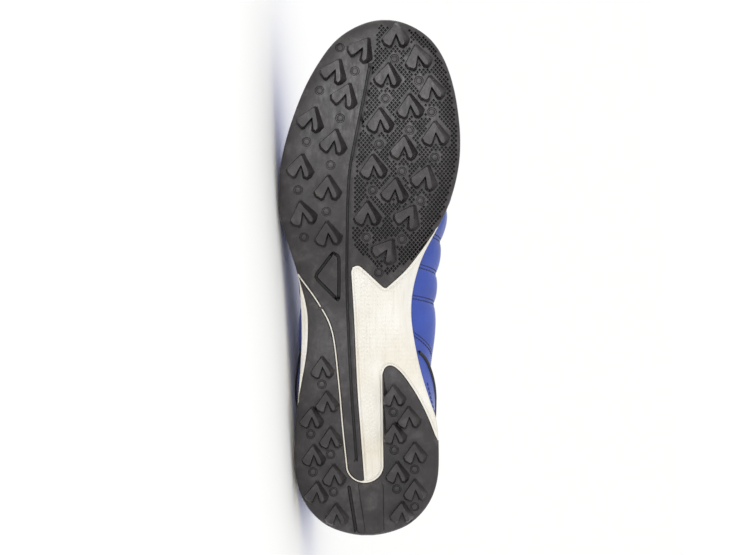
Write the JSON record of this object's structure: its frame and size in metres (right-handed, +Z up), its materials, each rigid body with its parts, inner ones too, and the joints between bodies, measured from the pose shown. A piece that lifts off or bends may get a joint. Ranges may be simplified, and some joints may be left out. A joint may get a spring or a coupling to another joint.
{
  "type": "turf sneaker",
  "caption": "Low turf sneaker for the right foot, lying on its outer side: black lugged rubber sole, white foam midsole, quilted blue leather upper with laces.",
  "frame": {"origin": "middle of the bounding box at floor level", "axes": "+X towards the heel, -Y the way the sole faces, +Z up through the inner side of the shoe"},
  "size_m": [0.2886, 0.1142, 0.1041],
  "materials": {
    "sole_rubber": "satin",
    "midsole_foam": "smooth moulded foam",
    "sock_foam": "textile over foam",
    "upper_leather": "smooth coated",
    "tongue_leather": "smooth coated",
    "piping": "smooth",
    "lace_fabric": "woven"
  },
  "bodies": {
    "root": {"outsole_forefoot": "sole_rubber", "outsole_heel": "sole_rubber", "midsole": "midsole_foam", "insole": "sock_foam", "upper": "upper_leather", "tongue": "tongue_leather", "heel_counter": "upper_leather", "heel_piping": "piping", "lace": "lace_fabric"}
  },
  "joints": []
}
